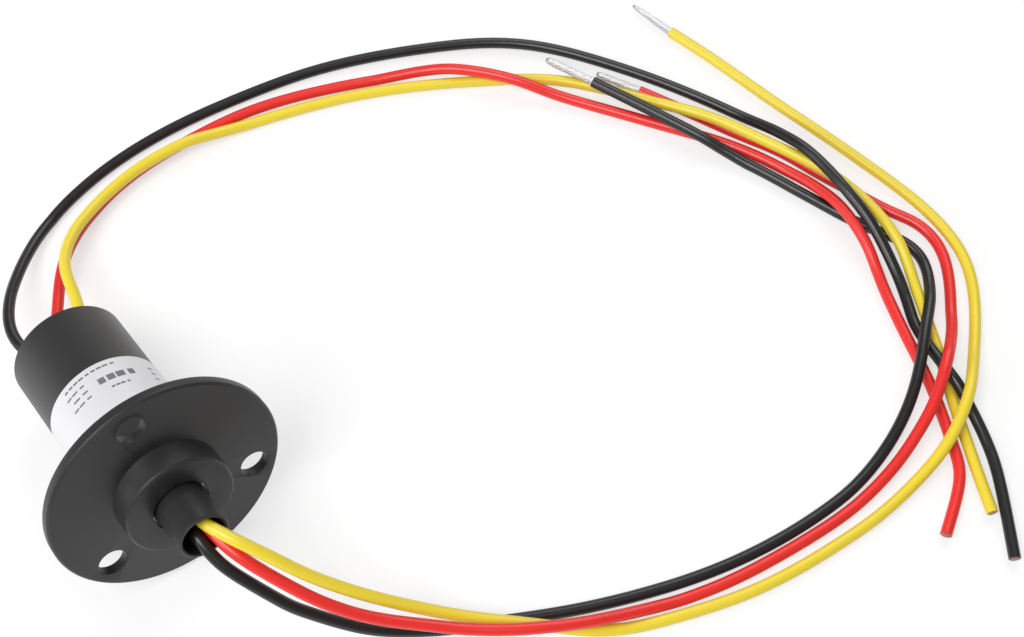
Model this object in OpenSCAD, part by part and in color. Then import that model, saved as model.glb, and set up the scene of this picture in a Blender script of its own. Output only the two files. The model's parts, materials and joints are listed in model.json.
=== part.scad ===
// Capsule slip ring, 22 mm class, with a three-hole flange and three circuits.
// It lies on the rim of its flange and on the rear edge of its sleeve, so the axis
// leans back by the angle those two edges give. Units are millimetres.

/* [Housing] */
// Flange diameter
flange_d = 44.4; // [42:0.2:50]
// Flange thickness
flange_t = 2.0; // [1.6:0.1:3]
// Sleeve outer diameter
body_d = 22.0; // [21.6:0.1:24]
// Sleeve length behind the flange
body_l = 39.2; // [38:0.1:50]
// Sleeve wall thickness
sleeve_wall = 2.0; // [1.6:0.1:2.2]
// Locating boss diameter, in front of the flange
boss_d = 20.5; // [19.6:0.1:21.4]
// Locating boss height
boss_h = 5.4; // [5:0.1:8]

/* [Flange holes] */
// Number of fixing holes
bolt_count = 3; // [3:1:6]
// Fixing hole diameter
bolt_hole_d = 5.5; // [3.2:0.1:5.6]
// Bolt circle diameter
bolt_circle_d = 34.8; // [34:0.1:36]
// Turn of the first hole from the top, towards -X
bolt_turn = 2.4; // [0:0.1:20]

/* [Rotor] */
// Outer diameter of the rotor's front tube
tube_d = 9.5; // [8.5:0.1:10.5]
// Inner diameter of the rotor's front tube
tube_bore_d = 8.0; // [7.2:0.1:8.4]
// How far the tube stands out of the boss
tube_reach = 8.5; // [6:0.1:14]
// How deep the leads' resin stands inside the tube's mouth
mouth_depth = 4.0; // [2:0.1:5]

/* [Rear end] */
// Length of the resin plug that closes the sleeve
pot_l = 5.8; // [4:0.1:7]
// Length of the insulating cap in front of it
cap_l = 9.0; // [8:0.1:10]

/* [Contact rings] */
// Width of one contact ring
ring_w = 3.0; // [2.6:0.1:3.2]
// Width of one insulating barrier
barrier_w = 1.6; // [1.2:0.1:1.8]

/* [Leads] */
// Outer diameter of a lead's insulation
lead_d = 2.3; // [1.8:0.1:2.4]
// Diameter of a tinned end
tip_d = 1.7; // [1:0.1:1.8]

/* [Label] */
// Length of the label along the sleeve
label_l = 12.5; // [8:0.5:20]
// Wrap of the label round the sleeve, in degrees
label_wrap = 265; // [90:5:330]

/* [Hidden] */
$fn = 96;

// colours, one for each material
c_case = [0.16, 0.16, 0.165];
c_label = [0.86, 0.86, 0.88];
c_pot = [0.10, 0.10, 0.10];
c_steel = [0.62, 0.63, 0.65];
c_brass = [0.86, 0.68, 0.30];
c_insul = [0.80, 0.78, 0.70];
c_board = [0.20, 0.34, 0.24];
c_black = [0.13, 0.13, 0.13];
c_red = [0.86, 0.16, 0.13];
c_yellow = [0.86, 0.76, 0.16];
c_tin = [0.66, 0.67, 0.68];

// radii of the housing
flange_r = flange_d / 2;
body_r = body_d / 2;
bore_r = body_r - sleeve_wall;
boss_r = boss_d / 2;
body_edge = 0.6;    // broken rear edge of the sleeve
front_edge = 0.4;   // broken front edges of the flange and the boss

// attitude: flange rim and rear edge of the sleeve both touch z = 0
tilt = atan((flange_r - body_r) / (body_l - body_edge));
tube_r = tube_d / 2;
tube_end = flange_t + boss_h + tube_reach;
axis_z = flange_r * cos(tilt);
axis_y = (tube_end * cos(tilt) + tube_r * sin(tilt) - body_l * cos(tilt) - body_r * sin(tilt)) / 2;

// Brush blocks, rings and the core that carries them, from the bore inwards
block_t = 1.6;
block_h = 5.0;
block_out = sqrt(bore_r * bore_r - block_h * block_h / 4) - 0.14;
block_in = block_out - block_t;
barrier_r = block_in - 0.4;
ring_r = barrier_r - 0.5;
groove_r = ring_r - 0.8;
core_r = ring_r - 2.0;
brush_d = 0.4;
brush_touch = groove_r + 0.4;

// Bearings: inner and outer race radii come from the shaft they sit on
fb_in = (tube_d + 0.5) / 2;     // front seat radius
fb_out = fb_in + 2.5;
fb_w = 3.0;
fb_ball = 1.2;
fb_pitch = (fb_in + fb_out) / 2;
fb_count = 11;
rb_in = core_r - 1.0;           // rear seat radius
rb_out = rb_in + 2.0;
rb_w = 3.0;
rb_ball = 1.0;
rb_pitch = (rb_in + rb_out) / 2;
rb_count = 9;
race_gap = 0.04;                // room between a ball and its groove
cage_gap = 0.15;                // room between a cage and the races

// Positions along the axis: 0 is the rear face of the flange, + is forwards
boss_end = flange_t + boss_h;
front_wall = 1.2;               // wall that closes the boss in front
fb_front = boss_end - front_wall;
fb_back = fb_front - fb_w;
shoulder = flange_t / 2;        // step between bearing pocket and sleeve bore
collar_step = 0.8;
stack_0 = 0;                    // the ring stack starts behind the collar
stack_pitch = ring_w + barrier_w;
stack_end = stack_0 - 3 * stack_pitch - barrier_w;
lock_w = 1.0;
pot_face = -body_l + 0.4;       // the potting stands 0.4 inside the rear edge
cap_back = pot_face + pot_l;
core_end = cap_back + cap_l;    // the core ends where the cap and its bearing begin
rb_back = core_end - rb_w;
block_back = cap_back - 2.0;    // tails of the blocks reach into the potting

// Rotor inside
tube_bore_r = tube_bore_d / 2;
tube_pot_face = tube_end - mouth_depth;
bore_floor = fb_front - 1.2;
wire_d = 0.8;
wire_bore_r = core_r - 1.8;     // bore of the core, for the three conductors
wire_at = wire_bore_r - 1.0;
wire_gap = 0.05;
collar_r = ring_r;
rim = 0.2;                      // rounding of the tube's mouth

lead_r = lead_d / 2;
exit_r = 6.0;                   // the stator leads leave on this radius
label_t = 0.12;
label_start = -85;              // from the top, towards -X
label_s0 = -8.5;                // bare stretch between the flange and the label

// Turns local z onto the part's own axis, x across, y up
module at_axis() translate([0, axis_y, axis_z]) rotate([90 - tilt, 0, 0]) children();
// The same, for a point: u across, v up, s along the axis
function on_axis(u, v, s) = [u, axis_y - s * cos(tilt) + v * sin(tilt),
                             axis_z + s * sin(tilt) + v * cos(tilt)];
function clock(i) = 90 + bolt_turn + i * 360 / bolt_count;

// ---- helpers -------------------------------------------------------------------
// ring between two radii, from s0 to s1
module ring(ri, ro, s0, s1) translate([0, 0, min(s0, s1)]) difference() {
    cylinder(r = ro, h = abs(s1 - s0));
    translate([0, 0, -1]) cylinder(r = ri, h = abs(s1 - s0) + 2);
}
// round rod from p to q
module rod(p, q, r) {
    d = q - p;
    l = norm(d);
    translate(p) rotate([0, acos(d[2] / l), atan2(d[1], d[0])]) cylinder(r = r, h = l, $fn = 24);
}

// smooth line through the points of a route, and the tube along it
cuts = 2;
sides = 8;
function unit(a) = a / norm(a);
// Seen from above the line is a cubic B-spline, which eases every bend; its heights
// pass through the points, so that it clears the lead it climbs over.
function eased(a, b, c, d, t) = (pow(1 - t, 3) * a + (3 * pow(t, 3) - 6 * t * t + 4) * b
                                 + (3 * t * (1 + t - t * t) + 1) * c + pow(t, 3) * d) / 6;
function through(a, b, c, d, t) = b + ((c - a) * t + (2 * a - 5 * b + 4 * c - d) * t * t
                                       + (3 * b - a - 3 * c + d) * pow(t, 3)) / 2;
function bend(a, b, c, d, t) = let(p = eased(a, b, c, d, t))
    [p[0], p[1], max(through(a[2], b[2], c[2], d[2], t), lead_r + 0.05)];
function line_of(p) = let(n = len(p), q = concat([2 * p[0] - p[1]], p, [2 * p[n - 1] - p[n - 2]]))
    [for (i = [0 : n - 2], k = [0 : cuts - 1]) bend(q[i], q[i + 1], q[i + 2], q[i + 3], k / cuts),
     bend(q[n - 2], q[n - 1], q[n], q[n + 1], 1)];
function way_at(q, i) = unit(q[min(i + 1, len(q) - 1)] - q[max(i - 1, 0)]);
// an octagon with the area of the round lead
tube_k = sqrt(PI / (sides / 2 * sin(360 / sides)));
function hoop(c, w, r) = let(a = unit(cross(w, [0, 0, 1])), b = cross(a, w))
    [for (k = [0 : sides - 1]) c + r * tube_k * (cos((k + 0.5) * 360 / sides) * a
                                                 + sin((k + 0.5) * 360 / sides) * b)];
// Its first end lies square to the exit, its last one square to the tinned end.
module lead(route, r, tip = undef) {
    q = line_of(route);
    n = len(q);
    first = unit(route[1] - route[0]);
    last = is_undef(tip) ? way_at(q, n - 1) : unit(tip - q[n - 1]);
    polyhedron(
        points = [for (i = [0 : n - 1])
                  each hoop(q[i], i == 0 ? first : i == n - 1 ? last : way_at(q, i), r)],
        faces = [[for (k = [sides - 1 : -1 : 0]) k],
                 for (i = [0 : n - 2], k = [0 : sides - 1])
                     let(a = i * sides + k, b = i * sides + (k + 1) % sides, c = b + sides, d = a + sides)
                     each [[a, b, c], [a, c, d]],
                 [for (k = [0 : sides - 1]) (n - 1) * sides + k]],
        convexity = 10);
}

// ---- routes of the leads -------------------------------------------------------
// Each starts square to its exit; the other points lie on the floor or over one
// another. Floor height of a centreline is 1.2, over one lead 3.6, over two 6.0.
function out_front(u, v) = [on_axis(u, v, tube_pot_face), on_axis(u, v, tube_pot_face + 2.6)];
function out_rear(a) = let(u = exit_r * sin(a), v = exit_r * cos(a))
    [on_axis(u, v, pot_face), on_axis(u, v, pot_face - 3)];

rotor_yellow_route = concat(out_front(0.9, 1.5), [
    [3.5, -31, 26.5], [7, -36, 23.8], [10.5, -41, 20], [14, -45, 16.8], [18, -49, 13.6],
    [22, -52.5, 10.6], [26.5, -56.5, 8], [31, -60.5, 6], [36.5, -65, 4.4], [42.5, -70, 3],
    [48.5, -75.5, 1.8], [56, -79.5, 1.2], [64, -82.5, 1.2], [74, -86, 1.2], [84.5, -88, 1.2],
    [95, -89, 1.2], [105, -89.5, 1.2], [115, -88.5, 1.8], [124.5, -87, 4.2], [133.5, -82, 5.4],
    [138, -78.5, 4], [142.5, -75, 2], [150, -68, 1.2], [156, -59.5, 1.2], [157.5, -49.5, 1.2],
    [156.5, -39.5, 1.2],
    [154.5, -29.5, 1.2], [152.5, -19.5, 1.2], [150, -9.5, 1.2], [148, 0.5, 1.2], [146, 10.5, 1.2],
    [143.5, 20, 1.2]]);
rotor_red_route = concat(out_front(1.4, -1.1), [
    [2.5, -32, 23.6], [5, -37, 21.4], [7.5, -41.5, 19], [10.5, -46, 16.2], [14.5, -50.5, 13.4],
    [18.5, -54, 11.2], [23, -57.5, 9.4], [28.5, -62, 7.8], [34.5, -66.5, 7], [41, -70.5, 6.4],
    [48, -74, 5], [56.5, -77, 2.8], [65, -80, 1.2], [74, -82.5, 1.2], [83.5, -84, 1.2],
    [93, -85, 1.2], [102.5, -85.5, 1.2], [113.5, -84, 2], [120, -82, 3.6], [125.5, -80, 5],
    [130, -77.5, 6], [135, -74, 6.2], [141, -70, 3.4], [145, -66, 1.4], [149, -61.5, 1.2],
    [152.5, -56.5, 1.2], [154, -51.5, 1.2], [153.5, -46.5, 1.2], [151, -42, 1.2], [149, -36.5, 1.2],
    [147, -31, 1.2], [145, -25.5, 1.2], [143.5, -20, 1.2], [141.5, -15, 1.2], [138.5, -9.5, 1.2],
    [136, -4, 1.2], [133.5, 1.5, 1.2], [128.5, 12, 1.2]]);
rotor_black_route = concat(out_front(-1.1, -0.7), [
    [-0.5, -31.5, 22.6], [1.5, -35.5, 20], [4, -39.5, 16.8], [6, -42.5, 13.8], [8.5, -45, 11.2],
    [11.5, -48, 8.4], [15.5, -51.5, 5.4], [20, -54.5, 3.2], [26.5, -58.5, 1.8], [32.5, -61.5, 1.2],
    [39, -65, 1.2], [45.5, -68.5, 1.2], [54, -72.5, 1.2], [67, -77.5, 1.2], [78.5, -80.5, 1.2],
    [88.5, -82, 1.2], [96.5, -82.5, 1.2], [104, -82.5, 1.2], [112, -81, 1.6], [119.5, -78.5, 2.8],
    [126, -75, 4.2], [132, -70.5, 4.8], [136.5, -66.5, 4.8], [142, -62.5, 3.8], [145.5, -59, 2.2],
    [148.5, -55, 1.2], [149, -51, 1.2], [148, -47.5, 1.2], [145.5, -43, 1.2], [143, -38, 1.2],
    [141, -32, 1.2], [139, -26.5, 1.2], [137, -20.5, 1.2], [135, -15.5, 1.2], [133, -10.5, 2],
    [130.5, -5.5, 3.4], [126, 6, 3.7], [121, 18.5, 3.6]]);
stator_black_route = concat(out_rear(-80), [
    [-7, 33, 10.6], [-6.4, 37.6, 10], [-3.6, 43.5, 8.2], [0.8, 49.3, 5.5], [6.2, 54.9, 2.9],
    [12.5, 59.2, 1.2], [22, 62, 1.2], [32, 63.5, 1.2], [45, 63.5, 1.2], [59, 61.5, 1.2],
    [72, 59, 1.2], [81.5, 56, 1.2], [91, 52, 1.2], [100, 47.5, 1.2], [109, 42.5, 1.2], [117, 36, 1.2],
    [123, 28.5, 1.2], [128.5, 20, 1.2], [133.5, 11.5, 1.2], [138, 2.5, 1.2], [142, -6.5, 1.6],
    [144, -15, 4], [144.5, -21, 5.9], [145, -27.5, 6.2], [144.5, -33.5, 6.2], [144.5, -39.5, 5.4],
    [144, -44.5, 4.2], [143, -49, 3], [142, -53.5, 1.8], [140, -58.5, 1.2], [137.5, -63, 1.2],
    [136, -67.5, 2.2], [134.5, -73.5, 3.6], [134, -78.5, 3.6], [133.5, -83, 2], [131, -91.5, 1.2],
    [127.5, -98, 1.2], [119, -110.5, 1.2]]);
stator_yellow_route = concat(out_rear(60), [
    [6.4, 32.5, 11.3], [7.4, 37, 10], [8.4, 42.9, 8.6], [11, 47.4, 7.2], [14.8, 51.2, 5.8],
    [20, 54.2, 4.5], [25.6, 56.2, 3.9], [32, 57.3, 3.9], [38.5, 57.4, 3.9], [44.5, 57, 3.7],
    [51, 56, 2.2], [58, 54.5, 1.2], [68, 51.5, 1.2], [78, 48, 1.2], [87.5, 43.5, 1.2], [96.5, 38.5, 1.2],
    [105, 33, 1.2], [113.5, 27.5, 1.2], [121, 20, 1.2], [127, 10, 2.2], [133, 0, 3.6],
    [136.5, -5.5, 3.7], [139, -11.5, 3.7], [141.5, -17, 3.7], [144, -23, 3.7], [146, -28.5, 3.7],
    [147, -33.5, 3.7], [147.5, -39.5, 3.7], [147, -44.5, 3.8], [146.5, -49, 3.2], [145, -53.5, 2],
    [143.5, -57, 1.2], [139.5, -65.5, 1.2], [135.5, -74, 1.2], [132.5, -79, 1.2], [127.5, -89.5, 1.2],
    [123.5, -98, 1.2], [122, -101.5, 1.2]]);
stator_red_route = concat(out_rear(-155), [
    [-1.8, 30.5, 4.3], [0.8, 34.5, 4.8], [4, 39, 5], [7.2, 44.3, 4.3], [11, 49, 3.2],
    [15.9, 53.2, 1.9], [22, 56.2, 1.2], [29.5, 58.2, 1.2], [38, 59, 1.2], [47, 58.6, 1.2],
    [57, 57.9, 1.2], [66.5, 55.5, 1.2], [76, 52, 1.2], [85, 48, 1.2], [94, 43.5, 2.2], [99, 39.5, 3.4],
    [104, 34, 3.8], [108.5, 28.5, 3.4], [113.5, 21.5, 1.8], [118, 15.5, 1.2], [126.5, 3, 1.2],
    [133.5, -7, 1.2], [136, -11.5, 1.2], [138.5, -16.5, 1.2], [140.5, -22, 1.5], [142, -28, 2.6],
    [142.5, -34.5, 3.7], [142, -40, 3.7], [141, -45.5, 3], [139.5, -50, 1.8], [137.5, -55, 1.2],
    [134, -65, 1.2], [131, -75.5, 1.2], [126, -86, 1.2], [124, -90.5, 1.2], [121, -94, 1.2],
    [112, -99.5, 1.2]]);

rotor_yellow_tip = [141.5, 30.5, 1.0];
rotor_red_tip = [124, 21, 1.0];
rotor_black_tip = [117, 29.5, 2.6];

// a tinned end: slightly tapered, from the last point of a route to its tip
module tinned(route, tip) {
    p = route[len(route) - 1];
    d = tip - p;
    l = norm(d);
    translate(p) rotate([0, acos(d[2] / l), atan2(d[1], d[0])]) {
        cylinder(d = tip_d, h = l - 1, $fn = 24);
        translate([0, 0, l - 1]) cylinder(d1 = tip_d, d2 = tip_d - 0.5, h = 1, $fn = 24);
    }
}

// ---- stator --------------------------------------------------------------------
// One moulding: sleeve, flange and boss, with a pocket for the front bearing
module housing() color(c_case) at_axis() difference() {
    rotate_extrude() polygon([
        [fb_in + 0.3, boss_end], [boss_r - front_edge, boss_end], [boss_r, boss_end - front_edge],
        [boss_r, flange_t], [flange_r - front_edge, flange_t], [flange_r, flange_t - front_edge],
        [flange_r, 0], [body_r, 0], [body_r, -body_l + body_edge], [body_r - body_edge, -body_l],
        [bore_r, -body_l], [bore_r, shoulder], [fb_out, shoulder], [fb_out, fb_front],
        [fb_in + 0.3, fb_front]]);
    for (i = [0 : bolt_count - 1]) rotate([0, 0, clock(i)])
        translate([bolt_circle_d / 2, 0, -1]) cylinder(d = bolt_hole_d, h = flange_t + 2, $fn = 64);
}

// Bare paper-foil label round the front half of the sleeve
module label() color(c_label) at_axis() translate([0, 0, label_s0 - label_l])
    rotate([0, 0, 90 - label_start - label_wrap])
    rotate_extrude(angle = label_wrap) translate([body_r, 0]) square([label_t, label_l]);

// Insulating end cap: holds the rear bearing and the tails of the brush blocks
module rear_cap() color(c_insul) at_axis() difference() {
    translate([0, 0, cap_back]) cylinder(r = bore_r, h = cap_l);
    translate([0, 0, rb_back]) cylinder(r = rb_out, h = rb_w + 1);
    translate([0, 0, rb_back - 1.6]) cylinder(r = rb_in + 0.6, h = 2);
    for (m = [0, 1]) mirror([m, 0, 0])
        translate([block_in, -block_h / 2, cap_back - 1]) cube([block_t, block_h, cap_l + 2]);
}

// Resin that closes the rear and holds the three stator leads
module rear_potting() color(c_pot) at_axis() difference() {
    translate([0, 0, pot_face]) cylinder(r = bore_r, h = cap_back - pot_face);
    for (m = [0, 1]) mirror([m, 0, 0])
        translate([block_in, -block_h / 2, block_back])
        cube([block_t, block_h, cap_back - block_back + 1]);
}

function ring_s(i) = stack_0 - barrier_w - ring_w / 2 - (i - 1) * stack_pitch;

// Board that carries three brush leaves, one on each side of the ring stack
module brush_block(m) color(c_board) at_axis() mirror([m, 0, 0]) difference() {
    translate([block_in, -block_h / 2, block_back]) cube([block_t, block_h, shoulder - block_back]);
    for (i = [1 : 3]) translate([block_in - 1, 1.9 - brush_d / 2, ring_s(i) - brush_d / 2])
        cube([1.8, brush_d, brush_d]);
}
module brush_block_left() brush_block(1);
module brush_block_right() brush_block(0);

// Spring leaf: soldered in the board, bent in to run in the ring's groove
function side_of(p, i) = let(
    a = i > 0 ? unit(p[i] - p[i - 1]) : unit(p[i + 1] - p[i]),
    b = i < len(p) - 1 ? unit(p[i + 1] - p[i]) : a,
    na = [-a[1], a[0]], nb = [-b[1], b[0]])
    (na + nb) / (1 + na * nb) * brush_d / 2;
module brush(i, m) color(c_brass) at_axis() mirror([m, 0, 0]) translate([0, 0, ring_s(i) - brush_d / 2]) {
    p = [[block_in + 0.8, 1.9], [block_in - 0.3, 1.9], [brush_touch, 0], [brush_touch + 0.35, -1.9]];
    linear_extrude(height = brush_d) polygon(concat(
        [for (k = [0 : 3]) p[k] + side_of(p, k)], [for (k = [3 : -1 : 0]) p[k] - side_of(p, k)]));
}
module brush_1_left() brush(1, 1);
module brush_1_right() brush(1, 0);
module brush_2_left() brush(2, 1);
module brush_2_right() brush(2, 0);
module brush_3_left() brush(3, 1);
module brush_3_right() brush(3, 0);

// ---- ball bearings ---------------------------------------------------------------
module race_outer(ro, pitch, ball, s0, w) color(c_steel) at_axis() difference() {
    ring(pitch + ball * 0.375, ro, s0, s0 + w);
    translate([0, 0, s0 + w / 2]) rotate_extrude() translate([pitch, 0])
        circle(r = ball / 2 + race_gap, $fn = 48);
}
module race_inner(ri, pitch, ball, s0, w) color(c_steel) at_axis() difference() {
    ring(ri, pitch - ball * 0.375, s0, s0 + w);
    translate([0, 0, s0 + w / 2]) rotate_extrude() translate([pitch, 0])
        circle(r = ball / 2 + race_gap, $fn = 48);
}
module balls(pitch, ball, count, s0, w) color(c_steel) at_axis() for (i = [0 : count - 1])
    rotate([0, 0, i * 360 / count]) translate([pitch, 0, s0 + w / 2]) sphere(d = ball, $fn = 32);
module cage(pitch, ball, count, s0, w) color(c_brass) at_axis() difference() {
    ring(pitch - ball * 0.375 + cage_gap, pitch + ball * 0.375 - cage_gap, s0 + 0.4, s0 + w - 0.4);
    for (i = [0 : count - 1]) rotate([0, 0, i * 360 / count])
        translate([pitch - ball, 0, s0 + w / 2]) rotate([0, 90, 0])
        cylinder(d = ball + 0.12, h = 2 * ball, $fn = 32);
}
module front_bearing_outer() race_outer(fb_out, fb_pitch, fb_ball, fb_back, fb_w);
module front_bearing_inner() race_inner(fb_in, fb_pitch, fb_ball, fb_back, fb_w);
module front_bearing_balls() balls(fb_pitch, fb_ball, fb_count, fb_back, fb_w);
module front_bearing_cage() cage(fb_pitch, fb_ball, fb_count, fb_back, fb_w);
module rear_bearing_outer() race_outer(rb_out, rb_pitch, rb_ball, rb_back, rb_w);
module rear_bearing_inner() race_inner(rb_in, rb_pitch, rb_ball, rb_back, rb_w);
module rear_bearing_balls() balls(rb_pitch, rb_ball, rb_count, rb_back, rb_w);
module rear_bearing_cage() cage(rb_pitch, rb_ball, rb_count, rb_back, rb_w);

// ---- rotor ---------------------------------------------------------------------
// One moulding: front tube, bearing seats, collar and the core under the rings
module rotor_shaft() color(c_case) at_axis() difference() {
    rotate_extrude() polygon([
        [0, rb_back - 0.4], [rb_in, rb_back - 0.4], [rb_in, core_end], [core_r, core_end],
        [core_r, stack_end - lock_w], [core_r - 0.4, stack_end - lock_w], [core_r - 0.4, stack_end],
        [core_r, stack_end], [core_r, stack_0], [collar_r, stack_0], [collar_r, fb_back - collar_step],
        [fb_in + 0.7, fb_back - collar_step], [fb_in + 0.7, fb_back], [fb_in, fb_back],
        [fb_in, fb_front], [tube_r, fb_front], [tube_r, tube_end - rim], [tube_r - rim, tube_end],
        [tube_bore_r + rim, tube_end], [tube_bore_r, tube_end - rim], [tube_bore_r, bore_floor],
        [wire_bore_r, bore_floor], [wire_bore_r, stack_end + barrier_w], [0, stack_end + barrier_w]]);
    for (i = [1 : 3]) rotate([0, 0, i * 120]) translate([0, 0, ring_s(i)]) rotate([0, 90, 0])
        cylinder(r = wire_d / 2 + wire_gap, h = core_r + 1, $fn = 32);
}

// Resin inside the tube, where the three rotor leads come out
module tube_potting() color(c_pot) at_axis()
    translate([0, 0, bore_floor]) cylinder(r = tube_bore_r, h = tube_pot_face - bore_floor);

// Grooved ring that two brush leaves run on
module contact_ring(i) color(c_brass) at_axis() translate([0, 0, ring_s(i)]) rotate_extrude() polygon([
    [core_r, -ring_w / 2], [ring_r, -ring_w / 2], [ring_r, -1], [groove_r, 0], [ring_r, 1],
    [ring_r, ring_w / 2], [core_r, ring_w / 2]]);
module contact_ring_1() contact_ring(1);
module contact_ring_2() contact_ring(2);
module contact_ring_3() contact_ring(3);

// Insulating washer between two rings
module barrier(i) color(c_insul) at_axis()
    ring(core_r, barrier_r, stack_0 - (i - 1) * stack_pitch, stack_0 - (i - 1) * stack_pitch - barrier_w);
module barrier_1() barrier(1);
module barrier_2() barrier(2);
module barrier_3() barrier(3);
module barrier_4() barrier(4);

// Open spring ring in a groove of the core, which clamps the stack
module lock_ring() color(c_steel) at_axis() translate([0, 0, stack_end - lock_w])
    rotate([0, 0, -60]) rotate_extrude(angle = 300) translate([core_r - 0.4, 0]) square([1.5, lock_w]);

// Conductor from the tube's resin down the core and out to its ring
module rotor_wire(i) color(c_insul) at_axis() rotate([0, 0, i * 120]) {
    rod([wire_at, 0, ring_s(i)], [wire_at, 0, bore_floor], wire_d / 2);
    translate([wire_at, 0, ring_s(i)]) sphere(d = wire_d, $fn = 24);
    rod([wire_at, 0, ring_s(i)], [core_r - 0.02, 0, ring_s(i)], wire_d / 2);
}
module rotor_wire_1() rotor_wire(1);
module rotor_wire_2() rotor_wire(2);
module rotor_wire_3() rotor_wire(3);

// ---- leads ---------------------------------------------------------------------
module stator_lead_black() color(c_black) lead(stator_black_route, lead_r);
module stator_lead_yellow() color(c_yellow) lead(stator_yellow_route, lead_r);
module stator_lead_red() color(c_red) lead(stator_red_route, lead_r);
module rotor_lead_black() color(c_black) lead(rotor_black_route, lead_r, rotor_black_tip);
module rotor_lead_yellow() color(c_yellow) lead(rotor_yellow_route, lead_r, rotor_yellow_tip);
module rotor_lead_red() color(c_red) lead(rotor_red_route, lead_r, rotor_red_tip);
module tip_black() color(c_tin) tinned(rotor_black_route, rotor_black_tip);
module tip_yellow() color(c_tin) tinned(rotor_yellow_route, rotor_yellow_tip);
module tip_red() color(c_tin) tinned(rotor_red_route, rotor_red_tip);

housing();
label();
rear_cap();
rear_potting();
brush_block_left();
brush_block_right();
brush_1_left();
brush_1_right();
brush_2_left();
brush_2_right();
brush_3_left();
brush_3_right();
front_bearing_outer();
front_bearing_inner();
front_bearing_balls();
front_bearing_cage();
rear_bearing_outer();
rear_bearing_inner();
rear_bearing_balls();
rear_bearing_cage();
rotor_shaft();
tube_potting();
contact_ring_1();
contact_ring_2();
contact_ring_3();
barrier_1();
barrier_2();
barrier_3();
barrier_4();
lock_ring();
rotor_wire_1();
rotor_wire_2();
rotor_wire_3();
stator_lead_black();
stator_lead_yellow();
stator_lead_red();
rotor_lead_black();
rotor_lead_yellow();
rotor_lead_red();
tip_black();
tip_yellow();
tip_red();
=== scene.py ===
"""Dresses the capsule slip ring: leads, tinned ends, mouldings, label, resin and stage."""

import json
import math

import bmesh
import bpy
from mathutils import Matrix, Vector


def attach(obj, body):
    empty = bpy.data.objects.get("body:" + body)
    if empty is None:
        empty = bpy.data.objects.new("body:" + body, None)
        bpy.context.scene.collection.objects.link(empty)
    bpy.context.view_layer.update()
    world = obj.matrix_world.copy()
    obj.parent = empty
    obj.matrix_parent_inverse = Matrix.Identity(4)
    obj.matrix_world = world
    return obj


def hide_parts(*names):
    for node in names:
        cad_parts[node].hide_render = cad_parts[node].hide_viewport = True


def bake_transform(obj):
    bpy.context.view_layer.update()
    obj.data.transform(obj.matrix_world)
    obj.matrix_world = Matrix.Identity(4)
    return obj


bl_info = {
    "name": "Capsule slip ring",
    "version": (1, 0, 0),
    "blender": (4, 5, 0),
    "location": "3D View > Sidebar > Slip ring",
    "description": "Builds the leads, mouldings, label and stage of a flanged capsule slip ring",
    "category": "Object",
}

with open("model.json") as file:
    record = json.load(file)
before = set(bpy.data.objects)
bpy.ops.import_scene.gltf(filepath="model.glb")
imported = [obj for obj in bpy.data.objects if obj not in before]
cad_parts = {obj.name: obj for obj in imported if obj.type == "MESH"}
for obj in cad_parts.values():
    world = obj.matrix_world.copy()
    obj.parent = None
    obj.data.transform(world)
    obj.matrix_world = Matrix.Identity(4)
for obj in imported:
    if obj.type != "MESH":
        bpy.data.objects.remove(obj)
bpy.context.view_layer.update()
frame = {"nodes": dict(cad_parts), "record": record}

MM = 0.001
COLOURS = ("black", "yellow", "red")


# ---- where things are ----------------------------------------------------------------
def mount(name):
    """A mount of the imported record, by name."""
    return next(m for m in frame["record"]["mounts"] if m["name"] == name)


FLANGE_THICKNESS = 2.0 * MM
AXIS = Vector(mount("flange_bolts")["axis"]).normalized()
ORIGIN = Vector(mount("flange_bolts")["pos_m"]) - AXIS * FLANGE_THICKNESS
ACROSS = Vector((1, 0, 0))
UP = AXIS.cross(ACROSS)

# Radii of the housing
FLANGE_RADIUS = 22.2 * MM
BODY_RADIUS = 11.0 * MM
BOSS_RADIUS = 10.25 * MM
BORE_RADIUS = 9.0 * MM
BEARING_SEAT_RADIUS = 7.5 * MM
SHAFT_HOLE_RADIUS = 5.3 * MM
FRONT_CHAMFER = 0.4 * MM
REAR_CHAMFER = 0.6 * MM
# Places along the axis, 0 at the flange's rear face
BOSS_FRONT = 7.4 * MM
BEARING_SEAT_FRONT = 6.2 * MM
BORE_FRONT = 1.0 * MM
BODY_REAR = -39.2 * MM
REAR_RESIN = -38.8 * MM
TUBE_RESIN = 11.9 * MM
# Turn of the first screw hole from the top, in degrees
BOLT_TURN = 2.4
# Leads leave the rear resin at this radius, and each resin square to it for a short way
EXIT_RADIUS = 6.0 * MM
REAR_STUB = 3.0 * MM
TUBE_STUB = 2.6 * MM


def on_axis(across, up, along):
    """A point of the row frame from the slip ring's own axes, in metres."""
    return ORIGIN + ACROSS * across + UP * up + AXIS * along


def axis_matrix(along=0.0, turn=0.0):
    """Local z along the axis, x across, y up, turned by an angle about the axis."""
    place = Matrix((ACROSS, UP, AXIS)).transposed().to_4x4()
    place.translation = ORIGIN + AXIS * along
    return place @ Matrix.Rotation(turn, 4, "Z")


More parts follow.
